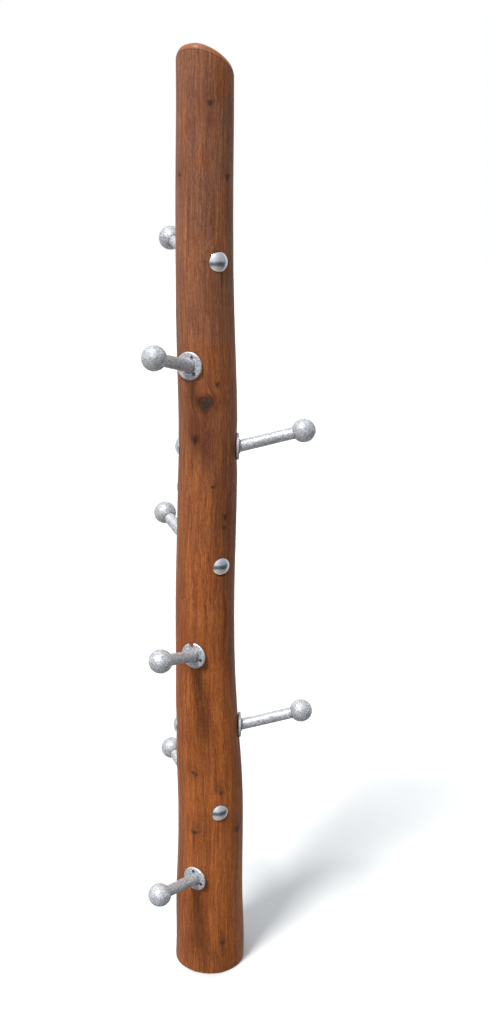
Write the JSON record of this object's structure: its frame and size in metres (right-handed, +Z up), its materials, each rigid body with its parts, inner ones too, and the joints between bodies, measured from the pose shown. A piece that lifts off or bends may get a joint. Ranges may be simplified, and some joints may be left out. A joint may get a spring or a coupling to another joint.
{
  "type": "timber climbing post with ball-ended steps",
  "caption": "Tall round timber climbing post with ball-ended steel steps rising round it in a spiral and domed caps over the through studs.",
  "frame": {"origin": "on the post's flat base, under its centre line, at ground level", "axes": "+Z up the post, +X along the steps on the right-hand side, +Y towards the back"},
  "size_m": [0.5096, 0.5999, 2.838],
  "materials": {
    "timber": "oiled round timber, satin",
    "galvanised_steel": "hot-dip galvanised, spangled",
    "polished_steel": "polished stainless steel",
    "zinc_plated_steel": "zinc-plated, dull"
  },
  "bodies": {
    "root": {"post": "timber", "step_1_ball": "galvanised_steel", "step_1_tube": "galvanised_steel", "step_1_flange": "galvanised_steel", "step_1_stud": "zinc_plated_steel", "step_1_cap": "polished_steel", "step_2_ball": "galvanised_steel", "step_2_tube": "galvanised_steel", "step_2_flange": "galvanised_steel", "step_2_stud": "zinc_plated_steel", "step_2_cap": "polished_steel", "step_3_ball": "galvanised_steel", "step_3_tube": "galvanised_steel", "step_3_flange": "galvanised_steel", "step_3_stud": "zinc_plated_steel", "step_3_cap": "polished_steel", "step_4_ball": "galvanised_steel", "step_4_tube": "galvanised_steel", "step_4_flange": "galvanised_steel", "step_4_stud": "zinc_plated_steel", "step_4_cap": "polished_steel", "step_5_ball": "galvanised_steel", "step_5_tube": "galvanised_steel", "step_5_flange": "galvanised_steel", "step_5_stud": "zinc_plated_steel", "step_5_cap": "polished_steel", "step_6_ball": "galvanised_steel", "step_6_tube": "galvanised_steel", "step_6_flange": "galvanised_steel", "step_6_stud": "zinc_plated_steel", "step_6_cap": "polished_steel", "step_7_ball": "galvanised_steel", "step_7_tube": "galvanised_steel", "step_7_flange": "galvanised_steel", "step_7_stud": "zinc_plated_steel", "step_7_cap": "polished_steel", "step_8_ball": "galvanised_steel", "step_8_tube": "galvanised_steel", "step_8_flange": "galvanised_steel", "step_8_stud": "zinc_plated_steel", "step_8_cap": "polished_steel", "washers": "zinc_plated_steel", "nuts": "zinc_plated_steel", "wood_screws": "zinc_plated_steel"}
  },
  "joints": []
}
